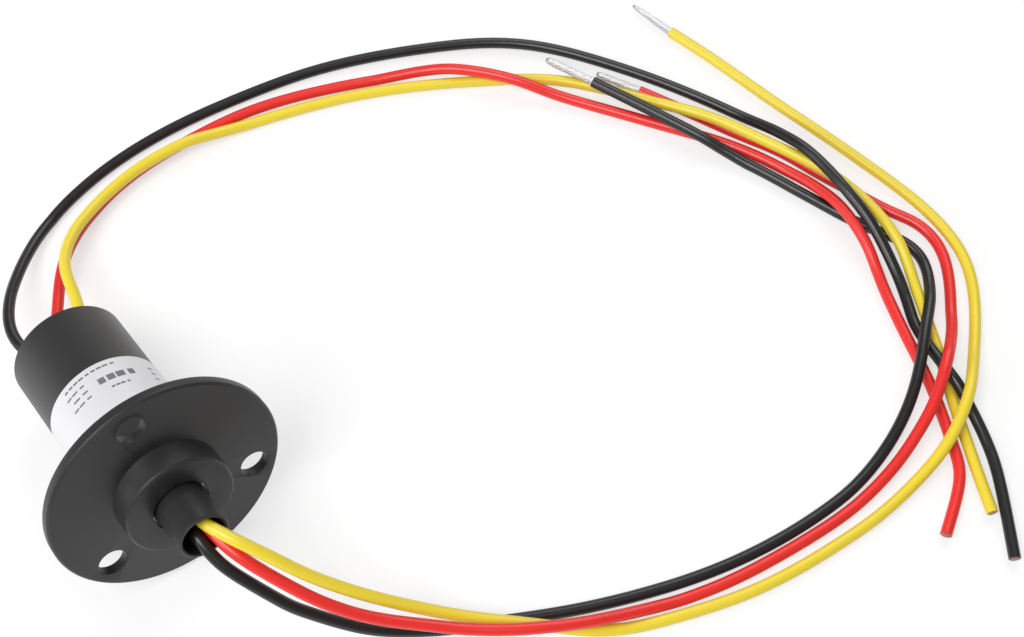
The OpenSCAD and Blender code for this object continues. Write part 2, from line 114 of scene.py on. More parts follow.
# ---- routes of the leads, each after its two points at the exit -----------------------
ROUTES = {
    "rotor_yellow": [
        (0.0035, -0.031, 0.0265), (0.007, -0.036, 0.0238), (0.0105, -0.041, 0.02),
        (0.014, -0.045, 0.0168), (0.018, -0.049, 0.0136), (0.022, -0.0525, 0.0106),
        (0.0265, -0.0565, 0.008), (0.031, -0.0605, 0.006), (0.0365, -0.065, 0.0044),
        (0.0425, -0.07, 0.003), (0.0485, -0.0755, 0.0018), (0.056, -0.0795, 0.0012),
        (0.064, -0.0825, 0.0012), (0.074, -0.086, 0.0012), (0.0845, -0.088, 0.0012),
        (0.095, -0.089, 0.0012), (0.105, -0.0895, 0.0012), (0.115, -0.0885, 0.0018),
        (0.1245, -0.087, 0.0042), (0.1335, -0.082, 0.0054), (0.138, -0.0785, 0.004),
        (0.1425, -0.075, 0.002), (0.15, -0.068, 0.0012), (0.156, -0.0595, 0.0012),
        (0.1575, -0.0495, 0.0012), (0.1565, -0.0395, 0.0012), (0.1545, -0.0295, 0.0012),
        (0.1525, -0.0195, 0.0012), (0.15, -0.0095, 0.0012), (0.148, 0.0005, 0.0012),
        (0.146, 0.0105, 0.0012), (0.1435, 0.02, 0.0012),
    ],
    "rotor_red": [
        (0.0025, -0.032, 0.0236), (0.005, -0.037, 0.0214), (0.0075, -0.0415, 0.019),
        (0.0105, -0.046, 0.0162), (0.0145, -0.0505, 0.0134), (0.0185, -0.054, 0.0112),
        (0.023, -0.0575, 0.0094), (0.0285, -0.062, 0.0078), (0.0345, -0.0665, 0.007),
        (0.041, -0.0705, 0.0064), (0.048, -0.074, 0.005), (0.0565, -0.077, 0.0028),
        (0.065, -0.08, 0.0012), (0.074, -0.0825, 0.0012), (0.0835, -0.084, 0.0012),
        (0.093, -0.085, 0.0012), (0.1025, -0.0855, 0.0012), (0.1135, -0.084, 0.002),
        (0.12, -0.082, 0.0036), (0.1255, -0.08, 0.005), (0.13, -0.0775, 0.006),
        (0.135, -0.074, 0.0062), (0.141, -0.07, 0.0034), (0.145, -0.066, 0.0014),
        (0.149, -0.0615, 0.0012), (0.1525, -0.0565, 0.0012), (0.154, -0.0515, 0.0012),
        (0.1535, -0.0465, 0.0012), (0.151, -0.042, 0.0012), (0.149, -0.0365, 0.0012),
        (0.147, -0.031, 0.0012), (0.145, -0.0255, 0.0012), (0.1435, -0.02, 0.0012),
        (0.1415, -0.015, 0.0012), (0.1385, -0.0095, 0.0012), (0.136, -0.004, 0.0012),
        (0.1335, 0.0015, 0.0012), (0.1285, 0.012, 0.0012),
    ],
    "rotor_black": [
        (-0.0005, -0.0315, 0.0226), (0.0015, -0.0355, 0.02), (0.004, -0.0395, 0.0168),
        (0.006, -0.0425, 0.0138), (0.0085, -0.045, 0.0112), (0.0115, -0.048, 0.0084),
        (0.0155, -0.0515, 0.0054), (0.02, -0.0545, 0.0032), (0.0265, -0.0585, 0.0018),
        (0.0325, -0.0615, 0.0012), (0.039, -0.065, 0.0012), (0.0455, -0.0685, 0.0012),
        (0.054, -0.0725, 0.0012), (0.067, -0.0775, 0.0012), (0.0785, -0.0805, 0.0012),
        (0.0885, -0.082, 0.0012), (0.0965, -0.0825, 0.0012), (0.104, -0.0825, 0.0012),
        (0.112, -0.081, 0.0016), (0.1195, -0.0785, 0.0028), (0.126, -0.075, 0.0042),
        (0.132, -0.0705, 0.0048), (0.1365, -0.0665, 0.0048), (0.142, -0.0625, 0.0038),
        (0.1455, -0.059, 0.0022), (0.1485, -0.055, 0.0012), (0.149, -0.051, 0.0012),
        (0.148, -0.0475, 0.0012), (0.1455, -0.043, 0.0012), (0.143, -0.038, 0.0012),
        (0.141, -0.032, 0.0012), (0.139, -0.0265, 0.0012), (0.137, -0.0205, 0.0012),
        (0.135, -0.0155, 0.0012), (0.133, -0.0105, 0.002), (0.1305, -0.0055, 0.0034),
        (0.126, 0.006, 0.0037), (0.121, 0.0185, 0.0036),
    ],
    "stator_black": [
        (-0.007, 0.033, 0.0106), (-0.0064, 0.0376, 0.01), (-0.0036, 0.0435, 0.0082),
        (0.0008, 0.0493, 0.0055), (0.0062, 0.0549, 0.0029), (0.0125, 0.0592, 0.0012),
        (0.022, 0.062, 0.0012), (0.032, 0.0635, 0.0012), (0.045, 0.0635, 0.0012),
        (0.059, 0.0615, 0.0012), (0.072, 0.059, 0.0012), (0.0815, 0.056, 0.0012),
        (0.091, 0.052, 0.0012), (0.1, 0.0475, 0.0012), (0.109, 0.0425, 0.0012),
        (0.117, 0.036, 0.0012), (0.123, 0.0285, 0.0012), (0.1285, 0.02, 0.0012),
        (0.1335, 0.0115, 0.0012), (0.138, 0.0025, 0.0012), (0.142, -0.0065, 0.0016),
        (0.144, -0.015, 0.004), (0.1445, -0.021, 0.0059), (0.145, -0.0275, 0.0062),
        (0.1445, -0.0335, 0.0062), (0.1445, -0.0395, 0.0054), (0.144, -0.0445, 0.0042),
        (0.143, -0.049, 0.003), (0.142, -0.0535, 0.0018), (0.14, -0.0585, 0.0012),
        (0.1375, -0.063, 0.0012), (0.136, -0.0675, 0.0022), (0.1345, -0.0735, 0.0036),
        (0.134, -0.0785, 0.0036), (0.1335, -0.083, 0.002), (0.131, -0.0915, 0.0012),
        (0.1275, -0.098, 0.0012), (0.119, -0.1105, 0.0012),
    ],
    "stator_yellow": [
        (0.0064, 0.0325, 0.0113), (0.0074, 0.037, 0.01), (0.0084, 0.0429, 0.0086),
        (0.011, 0.0474, 0.0072), (0.0148, 0.0512, 0.0058), (0.02, 0.0542, 0.0045),
        (0.0256, 0.0562, 0.0039), (0.032, 0.0573, 0.0039), (0.0385, 0.0574, 0.0039),
        (0.0445, 0.057, 0.0037), (0.051, 0.056, 0.0022), (0.058, 0.0545, 0.0012),
        (0.068, 0.0515, 0.0012), (0.078, 0.048, 0.0012), (0.0875, 0.0435, 0.0012),
        (0.0965, 0.0385, 0.0012), (0.105, 0.033, 0.0012), (0.1135, 0.0275, 0.0012),
        (0.121, 0.02, 0.0012), (0.127, 0.01, 0.0022), (0.133, 0, 0.0036), (0.1365, -0.0055, 0.0037),
        (0.139, -0.0115, 0.0037), (0.1415, -0.017, 0.0037), (0.144, -0.023, 0.0037),
        (0.146, -0.0285, 0.0037), (0.147, -0.0335, 0.0037), (0.1475, -0.0395, 0.0037),
        (0.147, -0.0445, 0.0038), (0.1465, -0.049, 0.0032), (0.145, -0.0535, 0.002),
        (0.1435, -0.057, 0.0012), (0.1395, -0.0655, 0.0012), (0.1355, -0.074, 0.0012),
        (0.1325, -0.079, 0.0012), (0.1275, -0.0895, 0.0012), (0.1235, -0.098, 0.0012),
        (0.122, -0.1015, 0.0012),
    ],
    "stator_red": [
        (-0.0018, 0.0305, 0.0043), (0.0008, 0.0345, 0.0048), (0.004, 0.039, 0.005),
        (0.0072, 0.0443, 0.0043), (0.011, 0.049, 0.0032), (0.0159, 0.0532, 0.0019),
        (0.022, 0.0562, 0.0012), (0.0295, 0.0582, 0.0012), (0.038, 0.059, 0.0012),
        (0.047, 0.0586, 0.0012), (0.057, 0.0579, 0.0012), (0.0665, 0.0555, 0.0012),
        (0.076, 0.052, 0.0012), (0.085, 0.048, 0.0012), (0.094, 0.0435, 0.0022),
        (0.099, 0.0395, 0.0034), (0.104, 0.034, 0.0038), (0.1085, 0.0285, 0.0034),
        (0.1135, 0.0215, 0.0018), (0.118, 0.0155, 0.0012), (0.1265, 0.003, 0.0012),
        (0.1335, -0.007, 0.0012), (0.136, -0.0115, 0.0012), (0.1385, -0.0165, 0.0012),
        (0.1405, -0.022, 0.0015), (0.142, -0.028, 0.0026), (0.1425, -0.0345, 0.0037),
        (0.142, -0.04, 0.0037), (0.141, -0.0455, 0.003), (0.1395, -0.05, 0.0018),
        (0.1375, -0.055, 0.0012), (0.134, -0.065, 0.0012), (0.131, -0.0755, 0.0012),
        (0.126, -0.086, 0.0012), (0.124, -0.0905, 0.0012), (0.121, -0.094, 0.0012),
        (0.112, -0.0995, 0.0012),
    ],
}

# Where each lead leaves the tube's resin, in millimetres across and up from the axis
ROTOR_OFFSETS = {"yellow": (0.9, 1.5), "red": (1.4, -1.1), "black": (-1.1, -0.7)}
# Where each lead leaves the rear resin, in degrees from the top towards +X
STATOR_TURNS = {"black": -80, "yellow": 60, "red": -155}
# Far ends of the tinned strands, in metres
TIPS = {
    "yellow": (0.1415, 0.0305, 0.001),
    "red": (0.124, 0.021, 0.001),
    "black": (0.117, 0.0295, 0.0026),
}


STRAND_SHARE = 0.155  # strand spacing in a cut end, as a share of the lead's diameter
STRAND_CORE = 2.3  # radius of the bundle's core, in strand spacings
STRAND_STEP = 0.02 * MM  # strands stand proud of the core by up to four of these
STRAND_LENGTH = 0.5 * MM
TIP_LOBES = 12
TIP_RINGS = 36
TIP_TWIST = math.radians(430)
TIP_NOSE = 0.08  # share of the length that rounds off to the end
LOBE_VALLEY, LOBE_HEIGHT = 0.93, 0.09  # of the radius: a strand's groove and its crown over it
# Solder lumps along a tip: height as a share of the girth, waves in radians, phase
TIP_LUMPS = ((0.03, 17, 1), (0.02, 41, 0))
TIP_SLIM = {"yellow": 0.55, "red": 0.86, "black": 0.95}  # far end's share of the diameter

LABEL_FRONT = -8.5 * MM  # along the axis, 0 at the flange's rear face
LABEL_FROM, LABEL_TO = -180.0, 85.0  # degrees from the top, towards -X
LABEL_CORNER = 1.2 * MM
LABEL_THICKNESS = 0.12 * MM
LABEL_COLUMN = 0.3 * MM  # widest facet of the bent film
INK_THICKNESS = 0.015 * MM
SHORTEST_BAR, BAR_SPREAD = 0.62, 0.3  # shares of a bar's pitch
# Plain ruled bars on the label: first and last degree, place along the axis, height, bars
LABEL_BARS = (
    (-24, 33, -20.7 * MM, 0.45 * MM, 9),
    (-37, 2, -17.5 * MM, 1.5 * MM, 4),
    (-27, -7, -15.0 * MM, 0.45 * MM, 4),
    (11, 35, -19.0 * MM, 0.4 * MM, 3),
    (11, 30, -17.4 * MM, 0.4 * MM, 2),
    (11, 35, -15.8 * MM, 0.4 * MM, 3),
    (-60, -52, -18.6 * MM, 0.4 * MM, 1),
    (-60, -52, -17.0 * MM, 0.4 * MM, 1),
    (-60, -52, -15.4 * MM, 0.4 * MM, 1),
)


def exit_points(end, colour):
    """The first two points of a lead, square to the resin that it leaves."""
    if end == "rotor":
        across, up = (v * MM for v in ROTOR_OFFSETS[colour])
        return [on_axis(across, up, TUBE_RESIN), on_axis(across, up, TUBE_RESIN + TUBE_STUB)]
    turn = math.radians(STATOR_TURNS[colour])
    across, up = EXIT_RADIUS * math.sin(turn), EXIT_RADIUS * math.cos(turn)
    return [on_axis(across, up, REAR_RESIN), on_axis(across, up, REAR_RESIN - REAR_STUB)]


def eased(a, b, c, d, t):
    """A point of the cubic B-spline, which eases every bend."""
    return (
        (1 - t) ** 3 * a
        + (3 * t**3 - 6 * t * t + 4) * b
        + (3 * t * (1 + t - t * t) + 1) * c
        + t**3 * d
    ) / 6


def through(a, b, c, d, t):
    """A value on the line that passes through b and c."""
    return b + ((c - a) * t + (2 * a - 5 * b + 4 * c - d) * t * t + (3 * b - a - 3 * c + d) * t**3) / 2


def smooth_line(points, rest, cuts=8):
    """Points close together along a route: eased in plan, its heights through the points.

    The line starts and ends on the route's own ends, and is never lower than rest.
    """
    ends = [2 * points[0] - points[1]], [2 * points[-1] - points[-2]]
    row = ends[0] + points + ends[1]
    steps = [(i, k / cuts) for i in range(len(points) - 1) for k in range(cuts)]
    steps.append((len(points) - 2, 1.0))
    line = []
    for i, t in steps:
        plan = eased(*row[i : i + 4], t)
        height = through(*(p.z for p in row[i : i + 4]), t)
        line.append(Vector((plan.x, plan.y, max(height, rest))))
    return line


def lead_line(end, colour):
    """Centreline of one lead, from its exit to where its insulation ends."""
    points = exit_points(end, colour) + [Vector(p) for p in ROUTES[f"{end}_{colour}"]]
    rest = bpy.context.scene.slip_ring_sizes.lead_diameter / 2 + 0.05 * MM
    return smooth_line(points, rest)


# ---- small helpers -------------------------------------------------------------------
def linear(hex_colour):
    """An sRGB hex colour as linear RGBA."""
    channels = [int(hex_colour[i : i + 2], 16) / 255 for i in (1, 3, 5)]
    return tuple(
        c / 12.92 if c <= 0.04045 else ((c + 0.055) / 1.055) ** 2.4 for c in channels
    ) + (1.0,)


def deselect():
    if bpy.context.object and bpy.context.object.mode != "OBJECT":
        bpy.ops.object.mode_set(mode="OBJECT")
    bpy.ops.object.select_all(action="DESELECT")


def only(obj):
    """Makes obj the one selected and active object."""
    deselect()
    obj.select_set(True)
    bpy.context.view_layer.objects.active = obj
    return obj


def named(obj, name):
    obj.name = name
    obj.data.name = name
    return obj


def paint(obj, material):
    obj.data.materials.clear()
    obj.data.materials.append(material)
    return obj


def place(obj, matrix):
    """Puts a finished piece's place into its mesh."""
    obj.data.transform(matrix @ obj.matrix_world)
    obj.matrix_world = Matrix.Identity(4)
    return obj


def revolved(name, outline, steps=128):
    """A closed solid of revolution about local z from (radius, height) points."""
    deselect()
    mesh = bpy.data.meshes.new(name)
    count = len(outline)
    mesh.from_pydata(
        [(r, 0, z) for r, z in outline], [(i, (i + 1) % count) for i in range(count)], []
    )
    obj = bpy.data.objects.new(name, mesh)
    bpy.context.collection.objects.link(obj)
    only(obj)
    bpy.ops.object.mode_set(mode="EDIT")
    bpy.ops.mesh.select_all(action="SELECT")
    bpy.ops.mesh.spin(
        steps=steps, dupli=False, angle=2 * math.pi, center=(0, 0, 0), axis=(0, 0, 1)
    )
    bpy.ops.mesh.select_all(action="SELECT")
    bpy.ops.mesh.remove_doubles(threshold=1e-6)
    bpy.ops.mesh.normals_make_consistent(inside=False)
    bpy.ops.object.mode_set(mode="OBJECT")
    return obj


def smooth(obj, degrees=30):
    only(obj)
    bpy.ops.object.shade_smooth_by_angle(angle=math.radians(degrees))
    return obj


# ---- materials -----------------------------------------------------------------------
def add_node(tree, kind, settings=None, row=(), **links):
    """Adds a node: settings are its own, row fills its sockets in order, links by name."""
    made = tree.nodes.new(kind)
    for key, value in (settings or {}).items():
        setattr(made, key, value)
    sockets = list(zip(made.inputs, row))
    sockets += [(made.inputs[key.replace("_", " ")], value) for key, value in links.items()]
    for socket, value in sockets:
        if isinstance(value, bpy.types.NodeSocket):
            tree.links.new(value, socket)
        else:
            socket.default_value = value
    return made


def surface(name, colour, roughness, metallic=0.0, ior=1.5, grain=0.0, depth=0.0, spread=0.0):
    """A finish: plain colour, with grain in metres and depth as bump, spread as roughness change."""
    material = bpy.data.materials.new(name)
    material.use_nodes = True
    tree = material.node_tree
    tree.nodes.clear()
    shader = add_node(
        tree,
        "ShaderNodeBsdfPrincipled",
        None,
        Base_Color=colour,
        Roughness=roughness,
        Metallic=metallic,
        IOR=ior,
    )
    if grain:
        where = add_node(tree, "ShaderNodeTexCoord").outputs["Object"]
        noise = add_node(
            tree, "ShaderNodeTexNoise", None, Vector=where, Scale=1 / grain, Detail=3.0
        )
        bump = add_node(
            tree,
            "ShaderNodeBump",
            None,
            Height=noise.outputs["Fac"],
            Distance=depth,
            Strength=1.0,
        )
        tree.links.new(bump.outputs["Normal"], shader.inputs["Normal"])
        if spread:
            scale = add_node(
                tree,
                "ShaderNodeMapRange",
                None,
                Value=noise.outputs["Fac"],
                To_Min=roughness - spread,
                To_Max=roughness + spread,
            )
            tree.links.new(scale.outputs["Result"], shader.inputs["Roughness"])
    out = add_node(tree, "ShaderNodeOutputMaterial", None, Surface=shader.outputs["BSDF"])
    out.is_active_output = True
    return material


FINISHES = {}


def finish(name):
    """The finish of that name, made once."""
    if name not in FINISHES:
        FINISHES[name] = MAKERS[name](bpy.context.scene.slip_ring_colours)
    return FINISHES[name]


def moulded_pbt(c):
    # Glass-filled PBT from a fine-eroded mould: nearly black, a soft even sheen
    return surface("moulded_black_pbt", c.case, 0.42, grain=0.25 * MM, depth=0.012 * MM, spread=0.05)


def label_film(c):
    # Matt silver polyester label film: pale, with a broad metallic sheen
    return surface("matt_silver_film", c.label, 0.5, metallic=0.25, grain=1.5 * MM, depth=0.01 * MM)


def label_ink(c):
    # Thin screen-printed ink, slightly uneven where the film shows through
    return surface("grey_label_ink", linear("#6c6c72"), 0.6, grain=0.3 * MM, depth=0.004 * MM, spread=0.1)


def potting_resin(c):
    # Cured black epoxy: glassy skin with slow waves where it levelled
    return surface("black_potting_epoxy", linear("#161617"), 0.22, grain=2.5 * MM, depth=0.05 * MM)


def insulation(colour_name):
    def make(c):
        # Extruded PVC insulation: a tight gloss, very slightly wavy along the run
        return surface(
            f"extruded_pvc_{colour_name}",
            getattr(c, f"lead_{colour_name}"),
            0.32,
            grain=1.2 * MM,
            depth=0.02 * MM,
            spread=0.06,
        )

    return make


def tinned_strands(c):
    # Solder-dipped copper strands: grey-white metal, dull and slightly crusted
    return surface(
        "tinned_copper_strands", linear("#c9c9cb"), 0.4, metallic=0.85, grain=0.3 * MM, depth=0.05 * MM,
        spread=0.1,
    )


def copper_strands(c):
    # Drawn copper wire, freshly cut: warm grey-pink metal with rough little faces
    return surface(
        "cut_strands", linear("#b58f78"), 0.45, metallic=0.8, grain=0.15 * MM, depth=0.05 * MM
    )


def bearing_steel(c):
    # Ground and lapped bearing steel: cool, bright, with fine grinding lines
    return surface(
        "ground_bearing_steel", linear("#b9babd"), 0.25, metallic=1.0, grain=0.12 * MM,
        depth=0.002 * MM, spread=0.06,
    )


def gold_plate(c):
    # Gold plate on turned brass: warm and bright, with faint tool marks
    return surface(
        "gold_plated_brass", linear("#e0b65c"), 0.25, metallic=1.0, grain=0.15 * MM,
        depth=0.003 * MM, spread=0.06,
    )


def cage_brass(c):
    # Pressed sheet brass: a little duller, with rolling marks
    return surface(
        "pressed_brass", linear("#c9a05a"), 0.35, metallic=1.0, grain=0.3 * MM, depth=0.004 * MM,
        spread=0.08,
    )


def natural_peek(c):
    # Turned natural PEEK: opaque beige with a soft sheen
    return surface(
        "turned_natural_peek", linear("#cfc3a4"), 0.45, grain=0.25 * MM, depth=0.004 * MM, spread=0.06
    )


def glass_epoxy(c):
    # Routed glass-epoxy board: green, its weave just telegraphing through the resin
    return surface(
        "glass_epoxy_board", linear("#2f5a3c"), 0.4, grain=0.4 * MM, depth=0.01 * MM, spread=0.06
    )


MAKERS = {
    "case": moulded_pbt,
    "label": label_film,
    "ink": label_ink,
    "resin": potting_resin,
    "lead_black": insulation("black"),
    "lead_yellow": insulation("yellow"),
    "lead_red": insulation("red"),
    "tin": tinned_strands,
    "core": copper_strands,
    "steel": bearing_steel,
    "gold": gold_plate,
    "brass": cage_brass,
    "peek": natural_peek,
    "board": glass_epoxy,
}

INSIDE = {
    "steel": ("bearing_outer", "bearing_inner", "bearing_balls", "lock_ring"),
    "brass": ("bearing_cage",),
    "gold": ("contact_ring", "brush_1", "brush_2", "brush_3"),
    "peek": ("barrier", "rear_cap", "rotor_wire"),
    "board": ("brush_block",),
}


# ---- sizes and colours a user may change ---------------------------------------------
class SlipRingSizes(bpy.types.PropertyGroup):
    lead_diameter: bpy.props.FloatProperty(
        name="Lead diameter",
        description="Outer diameter of a lead's insulation",
        default=2.3 * MM,
        min=1.5 * MM,
        max=2.4 * MM,
        unit="LENGTH",
        precision=5,
    )
    tip_diameter: bpy.props.FloatProperty(
        name="Tinned end diameter",
        description="Diameter of the twisted and tinned strands",
        default=1.7 * MM,
        min=1.0 * MM,
        max=2.0 * MM,
        unit="LENGTH",
        precision=5,
    )
    label_length: bpy.props.FloatProperty(
        name="Label length",
        description="Length of the label along the sleeve",
        default=13.5 * MM,
        min=10.0 * MM,
        max=30.0 * MM,
        unit="LENGTH",
        precision=5,
    )
    edge_round: bpy.props.FloatProperty(
        name="Edge rounding",
        description="Rounding added to the moulding's sharp edges",
        default=0.125 * MM,
        min=0.05 * MM,
        max=0.2 * MM,
        unit="LENGTH",
        precision=5,
    )


def colour_property(name, description, hex_colour):
    return bpy.props.FloatVectorProperty(
        name=name,
        description=description,
        size=4,
        min=0.0,
        max=1.0,
        subtype="COLOR",
        default=linear(hex_colour),
    )


class SlipRingColours(bpy.types.PropertyGroup):
    case: colour_property("Moulding", "Colour of the housing and the rotor", "#222223")
    label: colour_property("Label", "Colour of the label film", "#d9d9dd")
    lead_black: colour_property("Black lead", "Insulation of the black leads", "#19191a")
    lead_yellow: colour_property("Yellow lead", "Insulation of the yellow leads", "#e2cb34")
    lead_red: colour_property("Red lead", "Insulation of the red leads", "#de2a26")
    floor: colour_property("Floor", "Colour of the floor", "#f4f4f4")


# ---- operators -----------------------------------------------------------------------
CAMERA_AT = Vector((-0.01779, -0.13868, 0.30272))
CAMERA_TO = Vector((0.07484, -0.01468, 0.0))
LENS = 60.26  # millimetres, on a sensor 36 mm wide
SENSOR = 36.0

FLOOR_SIZE = 6.0
FLOOR_DROP = 0.2 * MM  # below the leads, so that none cuts into it
FLOOR_GLOW = 0.6  # share of plain white in the floor, as seen and as reflected
SKY_LIGHT = 0.3  # the surround lights the part this much, but is seen plain white

LAMPS_TO = Vector((0.07, -0.015, 0.0))
# Soft boxes: name, place, side in metres, watts
LAMPS = (
    ("key_softbox", (-0.35, -0.1, 0.75), 0.45, 5.2),
    ("fill_softbox", (0.55, 0.35, 0.6), 0.6, 3.0),
    ("side_softbox", (-0.7, 0.1, 0.3), 0.35, 2.2),
)


class SLIPRING_OT_stage(bpy.types.Operator):
    """Adds the floor, the soft lights, the white surround and the camera"""

    bl_idname = "slipring.stage"
    bl_label = "Stage"

    def execute(self, context):
        deselect()
        bpy.ops.object.camera_add(location=CAMERA_AT)
        camera = bpy.context.object
        camera.name = "camera"
        camera.rotation_euler = (CAMERA_TO - CAMERA_AT).to_track_quat("-Z", "Y").to_euler()
        camera.data.sensor_width = SENSOR
        camera.data.lens = LENS
        camera.data.clip_start = 0.01
        camera.data.clip_end = 20.0
        context.scene.camera = camera

        bpy.ops.mesh.primitive_plane_add(size=FLOOR_SIZE, location=(0, 0, -FLOOR_DROP))
        floor = named(bpy.context.object, "floor")
        place(floor, Matrix.Identity(4))
        paint(floor, self.floor_finish(context.scene.slip_ring_colours.floor))

        for name, where, size, power in LAMPS:
            self.lamp(name, where, size, power)
        self.surround(context)
        context.scene.view_settings.view_transform = "Standard"
        return {"FINISHED"}

    def lamp(self, name, where, size, power):
        deselect()
        bpy.ops.object.light_add(type="AREA", location=where)
        lamp = bpy.context.object
        lamp.name = name
        aim = LAMPS_TO - Vector(where)
        lamp.rotation_euler = aim.to_track_quat("-Z", "Y").to_euler()
        lamp.data.size = size
        lamp.data.energy = power

    def floor_finish(self, colour):
        # Matt white paper sweep, shown near white to the camera and to polished things
        material = bpy.data.materials.new("white_paper_sweep")
        material.use_nodes = True
        tree = material.node_tree
        tree.nodes.clear()
        paper = add_node(tree, "ShaderNodeBsdfDiffuse", None, Color=colour)
        glow = add_node(tree, "ShaderNodeEmission", None, Color=(1, 1, 1, 1), Strength=1.0)
        ray = add_node(tree, "ShaderNodeLightPath")
        straight = (ray.outputs["Is Camera Ray"], ray.outputs["Is Transmission Ray"])
        seen = add_node(tree, "ShaderNodeMath", {"operation": "MAXIMUM"}, straight)
        also = add_node(
            tree,
            "ShaderNodeMath",
            {"operation": "MAXIMUM"},
            (seen.outputs[0], ray.outputs["Is Glossy Ray"]),
        )
        share = add_node(
            tree, "ShaderNodeMath", {"operation": "MULTIPLY"}, (also.outputs[0], FLOOR_GLOW)
        )
        both = add_node(
            tree,
            "ShaderNodeMixShader",
            None,
            (share.outputs[0], paper.outputs[0], glow.outputs[0]),
        )
        add_node(tree, "ShaderNodeOutputMaterial", None, Surface=both.outputs[0])
        return material

    def surround(self, context):
        world = bpy.data.worlds.new("white_surround")
        context.scene.world = world
        world.use_nodes = True
        tree = world.node_tree
        tree.nodes.clear()
        soft = add_node(tree, "ShaderNodeBackground", None, Color=(1, 1, 1, 1), Strength=SKY_LIGHT)
        white = add_node(tree, "ShaderNodeBackground", None, Color=(1, 1, 1, 1), Strength=1.0)
        ray = add_node(tree, "ShaderNodeLightPath")
        both = add_node(
            tree,
            "ShaderNodeMixShader",
            None,
            (ray.outputs["Is Camera Ray"], soft.outputs[0], white.outputs[0]),
        )
        add_node(tree, "ShaderNodeOutputWorld", None, Surface=both.outputs[0])


def lead_curve(name, line, diameter):
    """A lead's insulation as a round curve along its line."""
    deselect()
    curve = bpy.data.curves.new(name, "CURVE")
    curve.dimensions = "3D"
    curve.bevel_depth = diameter / 2
    curve.bevel_resolution = 8
    curve.use_fill_caps = True
    spline = curve.splines.new("POLY")
    spline.points.add(len(line) - 1)
    for point, at in zip(spline.points, line):
        point.co = (*at, 1.0)
    spline.use_smooth = True
    obj = bpy.data.objects.new(name, curve)
    bpy.context.collection.objects.link(obj)
    return obj


class SLIPRING_OT_stator_leads(bpy.types.Operator):
    """Lays the three leads that leave the rear of the sleeve, with their cut ends"""

    bl_idname = "slipring.stator_leads"
    bl_label = "Stator leads"

    def execute(self, context):
        sizes = context.scene.slip_ring_sizes
        for colour in COLOURS:
            line = lead_line("stator", colour)
            lead = lead_curve(f"stator_lead_{colour}_insulation", line, sizes.lead_diameter)
            paint(lead, finish(f"lead_{colour}"))
            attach(lead, "stator")
            core = self.cut_core(colour, line, sizes.lead_diameter)
            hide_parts(f"stator_lead_{colour}")
        return {"FINISHED"}

    def cut_core(self, colour, line, diameter):
        """The strands in the cut face, packed in hexagon rows and a little proud of it."""
        deselect()
        pitch = diameter * STRAND_SHARE
        depth = STRAND_LENGTH
        spots = [
            (pitch * (i + j / 2), pitch * j * math.sqrt(0.75))
            for i in range(-2, 3)
            for j in range(-2, 3)
            if abs(i + j) <= 2
        ]
        bpy.ops.mesh.primitive_cylinder_add(
            vertices=24, radius=pitch * STRAND_CORE, depth=depth, location=(0, 0, -depth / 5)
        )
        core = named(bpy.context.object, f"stator_lead_{colour}_strands")
        place(core, Matrix.Identity(4))
        bpy.ops.object.mode_set(mode="EDIT")
        for k, (x, y) in enumerate(spots):
            proud = (k * 7 % 5) * STRAND_STEP
            bpy.ops.mesh.primitive_cylinder_add(
                vertices=10, radius=pitch * 0.5, depth=depth, location=(x, y, proud)
            )
        bpy.ops.object.mode_set(mode="OBJECT")
        way = (line[-1] - line[-3]).normalized()
        turn = way.to_track_quat("Z", "Y").to_matrix().to_4x4()
        place(core, Matrix.Translation(line[-1] - way * depth * 0.3) @ turn)
        smooth(core, 40)
        paint(core, finish("core"))
        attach(core, "stator")
        return core


